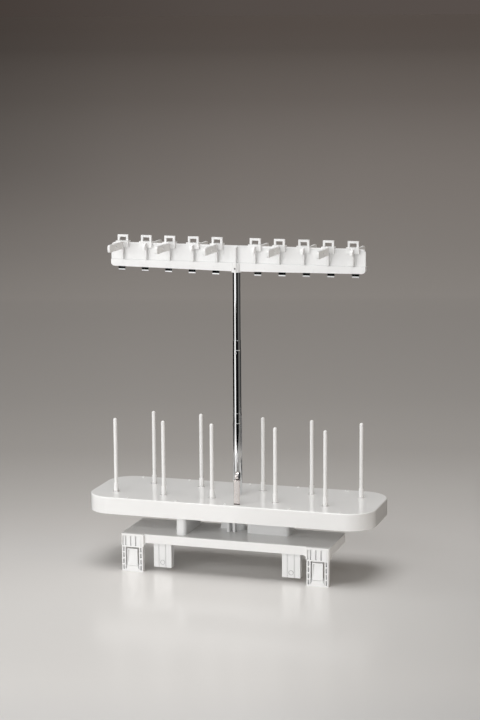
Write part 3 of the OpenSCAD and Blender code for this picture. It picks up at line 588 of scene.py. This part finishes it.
# Shares of the neck's step and of its slope
NECK_CURVE = ((0.0, 0.0), (0.2, 0.3), (0.8, 0.7), (1.0, 1.0))
LIP_RADIUS = 0.2 * MM
LIP_STEPS = 5
HOLDING_RING = 0.25 * MM
DIMPLE_DROP = 16.5 * MM
DIMPLE_RADIUS = 1.0 * MM
DIMPLE_REACH = 1.6 * DIMPLE_RADIUS
DIMPLE_DEPTH = 0.3 * MM
DIMPLE_FALL = 1.5
DIMPLE_RINGS = 16


def press_dimple(tube, centre):
    """Presses a small dent into the front of a tube's outer wall."""
    for vertex in tube.data.vertices:
        distance = (vertex.co - centre).length
        if distance < DIMPLE_REACH and vertex.co.y < centre.y + TUBE_WALL:
            vertex.co.y += DIMPLE_DEPTH * math.exp(-(distance / DIMPLE_RADIUS * DIMPLE_FALL) ** 2)


def mast_tube(node, body, necked, dimpled):
    low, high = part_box(node)
    radius = (high.x - low.x) / 2
    inside = radius - TUBE_WALL
    length = high.z - low.z
    mouth = radius - NECK_STEP if necked else radius
    outline = [(inside, 0), (radius - LIP_RADIUS, 0), (radius, LIP_RADIUS)]
    outline += [(radius, LIP_RADIUS + HOLDING_RING)]
    if dimpled:
        middle = length - DIMPLE_DROP
        for k in range(DIMPLE_RINGS + 1):
            outline.append((radius, middle + DIMPLE_REACH * (2 * k / DIMPLE_RINGS - 1)))
    if necked:
        start = length - NECK_LENGTH
        outline += [(radius, start - NECK_SLOPE - HOLDING_RING)]
        for step, rise in NECK_CURVE:
            outline.append((radius - NECK_STEP * step, start - NECK_SLOPE * (1 - rise)))
        outline += [(mouth, start + HOLDING_RING)]
    outline += [(mouth, length - LIP_RADIUS - HOLDING_RING)]
    outline += arc((mouth - LIP_RADIUS, length - LIP_RADIUS), LIP_RADIUS, 0, 90, LIP_STEPS)
    outline += [(inside, length), (inside, 0)]
    place = foot_point(node)
    obj = lathe(f"{node}_turned", outline, place, TUBE_SIDES)
    if dimpled:
        press_dimple(obj, place + Vector((0, -radius, length - DIMPLE_DROP)))
    dress(obj, chrome)
    return piece_for(obj, node, body)


mast_tube("lower_tube", "base", True, False)
mast_tube("middle_tube", "mast_middle", True, True)
mast_tube("upper_tube", "guide_bar_head", False, False)

# Thread clips under the bar: a leaning sheet with a curled lower edge
CLIP_SHEET = 0.7 * MM
CLIP_EDGE = 0.12 * MM
CLIP_TAB_TOP = 0.3 * MM
CLIP_DROP = 5.8 * MM
CLIP_LOWER = 0.8 * MM
CLIP_LEAN = 0.32 * MM
CLIP_LEAN_SHARES = (0.08, 0.92, 1.0)
CLIP_KNEE = 1.9 * MM
CLIP_KNEE_HOLD = 0.15 * MM
CLIP_CURL = 0.7 * MM
CLIP_CURL_LEAD = 0.1 * MM
CLIP_CURL_START = 180
CLIP_CURL_END = 400
CLIP_CURL_STEPS = 18


def thread_clip(number):
    name = f"thread_clip_{number}"
    low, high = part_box(name)
    place = Vector(((low.x + high.x) / 2, high.y - CLIP_SHEET / 2, low.z - CLIP_LOWER))
    height = high.z - place.z
    curl_z = CLIP_CURL + CLIP_SHEET / 2
    line = [(0, height - CLIP_TAB_TOP), (0, CLIP_DROP)]
    for share in CLIP_LEAN_SHARES:
        line.append((-CLIP_LEAN * share, CLIP_DROP + (CLIP_KNEE - CLIP_DROP) * share))
    line += [(-CLIP_LEAN, CLIP_KNEE - CLIP_KNEE_HOLD), (-CLIP_LEAN, curl_z + CLIP_CURL_LEAD)]
    line += arc((-CLIP_LEAN + CLIP_CURL, curl_z), CLIP_CURL, CLIP_CURL_START, CLIP_CURL_END, CLIP_CURL_STEPS)
    obj = ribbon(f"clip_{number}", line, CLIP_SHEET, high.x - low.x, place)
    round_edges(obj, CLIP_EDGE)
    dress(obj, chrome)
    return piece_for(obj, name, "guide_bar_head")


for number in PIECE_NUMBERS:
    thread_clip(number)

# Front thread guide: a strip whose top turns back under a rolled head
STRIP_SHEET = 0.8 * MM
STRIP_BEND = 1.6 * MM
STRIP_TOP_BEND = 1.2 * MM
STRIP_BEND_STEPS = 6
STRIP_EDGE = 0.24 * MM
STRIP_SIDE = 0.25 * MM
HEAD_RADIUS = 5.2 * MM
HEAD_BACK = 4.2 * MM
HEAD_HALF_WIDTH = 2.3 * MM
HEAD_EDGE_STEPS = 4
HEAD_SIDES = 64


def front_thread_guide():
    low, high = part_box("front_thread_guide")
    place = Vector(((low.x + high.x) / 2, low.y + STRIP_SHEET / 2, low.z))
    foot = high.y - low.y - STRIP_SHEET / 2
    top = high.z - low.z
    shelf = top - 2 * HEAD_RADIUS - STRIP_SHEET / 2
    line = [(foot, STRIP_SHEET / 2)]
    line += arc((STRIP_BEND, STRIP_BEND + STRIP_SHEET / 2), STRIP_BEND, -90, -180, STRIP_BEND_STEPS)
    line += arc((STRIP_TOP_BEND, shelf - STRIP_TOP_BEND), STRIP_TOP_BEND, 180, 90, STRIP_BEND_STEPS)
    line += [(HEAD_BACK + STRIP_TOP_BEND, shelf)]
    obj = ribbon("front_guide_strip", line, STRIP_SHEET, high.x - low.x + 2 * STRIP_SIDE, place)
    round_edges(obj, STRIP_EDGE, segments=3)
    dress(obj, strip_metal)
    piece_for(obj, "front_thread_guide", "base")
    rolled_head(place + Vector((0, HEAD_BACK, top - HEAD_RADIUS)))


def rolled_head(centre):
    """The roll at the strip's top: a short sleeve across the strip, open at both ends, with painted shade on
    its inner wall.
    """
    inner = HEAD_RADIUS - STRIP_SHEET
    edge = HEAD_HALF_WIDTH - STRIP_EDGE
    outline = [(inner, -HEAD_HALF_WIDTH)]
    outline += arc((HEAD_RADIUS - STRIP_EDGE, -edge), STRIP_EDGE, -90, 0, HEAD_EDGE_STEPS)
    outline += arc((HEAD_RADIUS - STRIP_EDGE, edge), STRIP_EDGE, 0, 90, HEAD_EDGE_STEPS)
    outline += [(inner, HEAD_HALF_WIDTH), (inner, -HEAD_HALF_WIDTH)]
    head = lathe("front_guide_head", outline, Vector((0, 0, 0)), HEAD_SIDES)
    head.data.transform(Matrix.Translation(centre) @ Matrix.Rotation(math.radians(90), 4, "Y"))
    dress(head, head_metal)
    head.data.materials.append(dark_steel_and_shade)
    # painted shade: the inner wall takes the dark steel
    for face in list(head.data.polygons)[-HEAD_SIDES:]:
        face.material_index = 1
    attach(head, "base")


front_thread_guide()

# Plain numbers, raised on the tray and on the bar
TRAY_NUMBER_SIZE = 6.0 * MM
TRAY_NUMBER_RISE = 0.8 * MM
TRAY_NUMBER_ASIDE = 26.5 * MM
TRAY_NUMBER_INSET = 5.5 * MM
BAR_NUMBER_SIZE = 3.2 * MM
BAR_NUMBER_RISE = 0.25 * MM
BAR_NUMBER_LEFT = -4.2 * MM
BAR_NUMBER_RIGHT = 13.5 * MM
BAR_NUMBER_HEIGHT = 6.2 * MM
BAR_RAIL_FRONT = 3.2 * MM
# The bevel is the rise divided by this
NUMBER_BEVEL_PART = 6
NUMBER_WELD = 0.0005 * MM
UPRIGHT = Matrix.Rotation(math.radians(90), 4, "X")
FLAT = Matrix.Identity(4)


def number_mesh(text, size, rise):
    """The solid form of a plain number, its back on the plane z = 0, centred on the origin."""
    curve = bpy.data.curves.new("number", "FONT")
    curve.body = text
    curve.size = size
    curve.extrude = rise / 2
    curve.bevel_depth = rise / NUMBER_BEVEL_PART
    curve.bevel_resolution = 1
    curve.align_x = "CENTER"
    curve.align_y = "CENTER"
    writer = link(bpy.data.objects.new("number", curve))
    bpy.context.view_layer.update()
    mesh = bpy.data.meshes.new_from_object(writer.evaluated_get(bpy.context.evaluated_depsgraph_get()))
    bpy.data.objects.remove(writer)
    mesh.transform(Matrix.Translation((0, 0, rise / NUMBER_BEVEL_PART)))
    return mesh


def numbers(name, place_of, size, rise, turn, body):
    """One piece that holds all the numbers of a row, each turned to lie on its face."""
    form = bmesh.new()
    for number in PIECE_NUMBERS:
        mesh = number_mesh(str(number), size, rise)
        mesh.transform(Matrix.Translation(place_of(number)) @ turn)
        form.from_mesh(mesh)
        bpy.data.meshes.remove(mesh)
    bmesh.ops.remove_doubles(form, verts=form.verts, dist=NUMBER_WELD)
    mesh = bpy.data.meshes.new(name)
    form.to_mesh(mesh)
    form.free()
    obj = link(bpy.data.objects.new(name, mesh))
    smooth_by_angle(obj)
    dress(obj, white_plastic)
    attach(obj, body)
    return obj


def tray_number_place(number):
    low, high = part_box("tray")
    pin = midpoint(f"spool_pin_{number}")
    if number % 2:
        return Vector((pin.x + TRAY_NUMBER_ASIDE, low.y + TRAY_NUMBER_INSET, high.z))
    return Vector((pin.x - TRAY_NUMBER_ASIDE, high.y - TRAY_NUMBER_INSET, high.z))


def bar_number_place(number):
    aside = BAR_NUMBER_LEFT if number <= HALF else BAR_NUMBER_RIGHT
    guide = midpoint(f"thread_guide_{number}")
    low_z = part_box("guide_bar")[0].z
    return Vector((guide.x + aside, -BAR_RAIL_FRONT, low_z + BAR_NUMBER_HEIGHT))


numbers("tray_numbers", tray_number_place, TRAY_NUMBER_SIZE, TRAY_NUMBER_RISE, FLAT, "base")
numbers("bar_numbers", bar_number_place, BAR_NUMBER_SIZE, BAR_NUMBER_RISE, UPRIGHT, "guide_bar_head")


# Floor
def floor_places(tree):
    """The distance ahead of the point under the camera, and the side-step for each metre ahead."""
    ahead = Vector((CAMERA_TARGET.x - CAMERA_PLACE.x, CAMERA_TARGET.y - CAMERA_PLACE.y, 0)).normalized()
    geometry = add_node(tree, "ShaderNodeNewGeometry")
    step = add_node(tree, "ShaderNodeVectorMath", operation="SUBTRACT")
    step.inputs[1].default_value = (CAMERA_PLACE.x, CAMERA_PLACE.y, 0)
    tree.links.new(geometry.outputs["Position"], step.inputs[0])
    parts = []
    for direction in (ahead, Vector((ahead.y, -ahead.x, 0))):
        part = add_node(tree, "ShaderNodeVectorMath", operation="DOT_PRODUCT")
        part.inputs[1].default_value = direction
        tree.links.new(step.outputs["Vector"], part.inputs[0])
        parts.append(part.outputs["Value"])
    depth = calculate(tree, "MAXIMUM", parts[0], FLOOR_LIGHT_POOL[0][0])
    in_view = calculate(tree, "MAXIMUM", parts[0], FLOOR_NEAREST)
    return depth, calculate(tree, "DIVIDE", parts[1], in_view)


def floor_material():
    """A pale sweep with painted light: it darkens with the distance and a little to the sides."""
    material, tree, shader = new_material("floor")
    depth, side = floor_places(tree)
    octave = calculate(tree, "LOGARITHM", depth, 2.0)
    # painted light falling off with the distance, and painted shade to the sides
    tone = tones_along(tree, octave, [(math.log2(at), tone) for at, tone in FLOOR_LIGHT_POOL])
    shade = None
    for reach, shades in FLOOR_PAINTED_SHADES:
        grey = tones_along(tree, side, [(at, (level,) * 3) for at, level in shades])
        farness = between(tree, depth, reach, 0.0, 1.0)
        shade = blend(tree, "MIX", shade, grey, farness) if shade else grey
    tree.links.new(blend(tree, "MULTIPLY", tone, shade), shader.inputs["Base Color"])
    setting_in = between(tree, depth, FLOOR_GLOSS_START, 0.0, FLOOR_GLOSS)
    fading = between(tree, depth, FLOOR_GLOSS_END, 1.0, 0.0)
    tree.links.new(calculate(tree, "MULTIPLY", setting_in, fading), shader.inputs["Specular IOR Level"])
    shader.inputs["Roughness"].default_value = FLOOR_ROUGHNESS
    return material


def disc(name, radius, sides):
    vertices = []
    for k in range(sides):
        angle = 2 * math.pi * k / sides
        vertices.append((radius * math.cos(angle), radius * math.sin(angle), 0))
    return mesh_object(name, vertices, [tuple(range(sides))])


floor = dress(disc("floor", FLOOR_RADIUS, FLOOR_SIDES), floor_material())

# Studio cards that only reflections show: distances from the mast, heights and tones
CARD_DISTANCE = 0.69
LIGHT_CARD_DISTANCE = 1.1 * CARD_DISTANCE
LYING_CARD_FROM = 0.3
CARD_MIDDLE = 0.232
CARD_HEIGHT = 0.34
CARD_TOP = 0.5
CARD_SKY = 0.9
LYING_CARD_HEIGHT = 0.004
CARD_CLEAR_REACH = (0.1, 0.3)
BLACK = (0.004, 0.004, 0.004)
DEEP_GREY = (0.03, 0.03, 0.03)
MID_GREY = (0.14, 0.135, 0.13)
PALE_GREY = (0.33, 0.32, 0.305)
BRIGHT = (1.12, 1.11, 1.10)
WHITE_GLOW = (0.8, 0.8, 0.8)
# Standing cards: first and last bearing in degrees right of the camera, lower and upper edge, distance, tone
STANDING_CARDS = (
    ("dark_card_front", -34, 38, 0.0, CARD_MIDDLE, CARD_DISTANCE, BLACK),
    ("light_card_left", -72, -34, 0.0, CARD_MIDDLE, LIGHT_CARD_DISTANCE, BRIGHT),
    ("dark_card_front_upper", -17, 42, CARD_MIDDLE, CARD_HEIGHT, CARD_DISTANCE, BLACK),
    ("light_card_left_upper", -72, -17, CARD_MIDDLE, CARD_HEIGHT, LIGHT_CARD_DISTANCE, BRIGHT),
    ("dark_card_left", -150, -72, 0.0, CARD_HEIGHT, CARD_DISTANCE, BLACK),
    ("grey_card_right", 38, 92, 0.0, CARD_HEIGHT, CARD_DISTANCE, MID_GREY),
    ("dark_card_right", 92, 150, 0.0, CARD_HEIGHT, CARD_DISTANCE, DEEP_GREY),
    ("dark_card_above", -90, 60, CARD_HEIGHT, CARD_TOP, CARD_DISTANCE, BLACK),
    ("light_card_above", -80, 60, CARD_TOP, CARD_SKY, CARD_DISTANCE, WHITE_GLOW),
)
# Lying cards: first and last bearing, and tone
LYING_CARDS = (
    ("pale_card_front", -29, 38, PALE_GREY),
    ("light_card_floor", -68, -29, BRIGHT),
    ("dark_card_floor_left", -150, -68, DEEP_GREY),
    ("pale_card_right", 38, 92, PALE_GREY),
    ("dark_card_floor_right", 92, 150, DEEP_GREY),
)


def card_point(bearing, distance, height):
    """A point seen from the mast at a bearing, in degrees right of the camera."""
    angle = math.radians(bearing) + CAMERA_SIDE
    return Vector((distance * math.sin(angle), -distance * math.cos(angle), height))


def card(name, corners, tone):
    """A glowing card whose back is clear, and which surfaces close to it don't see either."""
    obj = mesh_object(name, corners, [(3, 2, 1, 0)])
    material = bpy.data.materials.new(name)
    material.use_nodes = True
    tree = material.node_tree
    tree.nodes.clear()
    glow = add_node(tree, "ShaderNodeEmission")
    glow.inputs["Color"].default_value = (*tone, 1.0)
    clear = add_node(tree, "ShaderNodeBsdfTransparent")
    face = add_node(tree, "ShaderNodeNewGeometry")
    path = add_node(tree, "ShaderNodeLightPath")
    close = between(tree, path.outputs["Ray Length"], CARD_CLEAR_REACH, 1.0, 0.0)
    either = add_node(tree, "ShaderNodeMixShader")
    result = add_node(tree, "ShaderNodeOutputMaterial")
    tree.links.new(calculate(tree, "MAXIMUM", face.outputs["Backfacing"], close), either.inputs[0])
    tree.links.new(glow.outputs["Emission"], either.inputs[1])
    tree.links.new(clear.outputs["BSDF"], either.inputs[2])
    tree.links.new(either.outputs["Shader"], result.inputs["Surface"])
    dress(obj, material)
    obj.visible_camera = False
    obj.visible_diffuse = False
    obj.visible_shadow = False
    obj.visible_transmission = False
    return obj


def standing_card(name, start, end, low, high, distance, tone):
    """A flat card between two bearings, at its distance in the middle of them."""
    edge = distance / math.cos(math.radians((end - start) / 2))
    corners = [card_point(start, edge, low), card_point(end, edge, low)]
    corners += [card_point(end, edge, high), card_point(start, edge, high)]
    return card(name, corners, tone)


def lying_card(name, start, end, tone):
    """A card just above the floor between two bearings."""
    corners = [card_point(start, LYING_CARD_FROM, LYING_CARD_HEIGHT)]
    corners += [card_point(end, LYING_CARD_FROM, LYING_CARD_HEIGHT)]
    corners += [card_point(end, CARD_DISTANCE, LYING_CARD_HEIGHT)]
    corners += [card_point(start, CARD_DISTANCE, LYING_CARD_HEIGHT)]
    return card(name, corners, tone)


for settings in STANDING_CARDS:
    standing_card(*settings)
for settings in LYING_CARDS:
    lying_card(*settings)


# Light and camera
def studio_world():
    """Even light from all around, with darker tones where the camera looks past the floor."""
    world = bpy.data.worlds.new("studio")
    world.use_nodes = True
    sky = world.node_tree
    background = sky.nodes["Background"]
    background.inputs["Color"].default_value = WORLD_COLOUR
    background.inputs["Strength"].default_value = WORLD_STRENGTH
    far_off = add_node(sky, "ShaderNodeBackground")
    toward = add_node(sky, "ShaderNodeTexCoord")
    aside = add_node(sky, "ShaderNodeVectorMath", operation="DOT_PRODUCT")
    aside.inputs[1].default_value = (math.cos(CAMERA_SIDE), math.sin(CAMERA_SIDE), 0)
    sky.links.new(toward.outputs["Generated"], aside.inputs[0])
    sky.links.new(tones_along(sky, aside.outputs["Value"], DISTANCE_TONES), far_off.inputs["Color"])
    seen = add_node(sky, "ShaderNodeLightPath")
    either = add_node(sky, "ShaderNodeMixShader")
    sky.links.new(seen.outputs["Is Camera Ray"], either.inputs[0])
    sky.links.new(background.outputs["Background"], either.inputs[1])
    sky.links.new(far_off.outputs["Background"], either.inputs[2])
    sky.links.new(either.outputs["Shader"], sky.nodes["World Output"].inputs["Surface"])
    return world


def far_lamp(name, strength, size, bearing, height, colour=NEUTRAL):
    lamp = bpy.data.lights.new(name, "SUN")
    lamp.energy = strength
    lamp.color = colour
    lamp.angle = math.radians(size)
    lamp_object = link(bpy.data.objects.new(name, lamp))
    lamp_object.rotation_euler = (math.radians(90 - height), 0, math.radians(bearing))


def near_lamp():
    lamp = bpy.data.lights.new("front_left", "AREA")
    lamp.energy = NEAR_LAMP_POWER
    lamp.size = NEAR_LAMP_SIZE
    lamp_object = link(bpy.data.objects.new("front_left", lamp))
    facing = (NEAR_LAMP_TARGET - NEAR_LAMP_PLACE).to_track_quat("-Z", "Y")
    lamp_object.matrix_world = Matrix.Translation(NEAR_LAMP_PLACE) @ facing.to_matrix().to_4x4()


def photo_camera():
    settings = bpy.data.cameras.new("camera")
    settings.lens = CAMERA_LENS
    settings.sensor_width = SENSOR_LONG_SIDE
    settings.clip_end = CAMERA_REACH
    camera = link(bpy.data.objects.new("camera", settings))
    ahead = (CAMERA_TARGET - CAMERA_PLACE).normalized()
    right = ahead.cross(Vector((0, 0, 1))).normalized()
    above = right.cross(ahead)
    across = math.cos(CAMERA_ROLL) * right + math.sin(CAMERA_ROLL) * above
    upward = math.cos(CAMERA_ROLL) * above - math.sin(CAMERA_ROLL) * right
    turn = Matrix((across, upward, -ahead)).transposed().to_4x4()
    camera.matrix_world = Matrix.Translation(CAMERA_PLACE) @ turn
    return camera


bpy.context.scene.world = studio_world()
for settings in SINGLE_LAMPS:
    far_lamp(*settings)
for name, strength, size, bearings, height in LAMP_ROWS:
    for bearing in bearings:
        far_lamp(name, strength, size, bearing, height)
near_lamp()
bpy.context.scene.camera = photo_camera()
bpy.context.scene.view_settings.view_transform = "Standard"
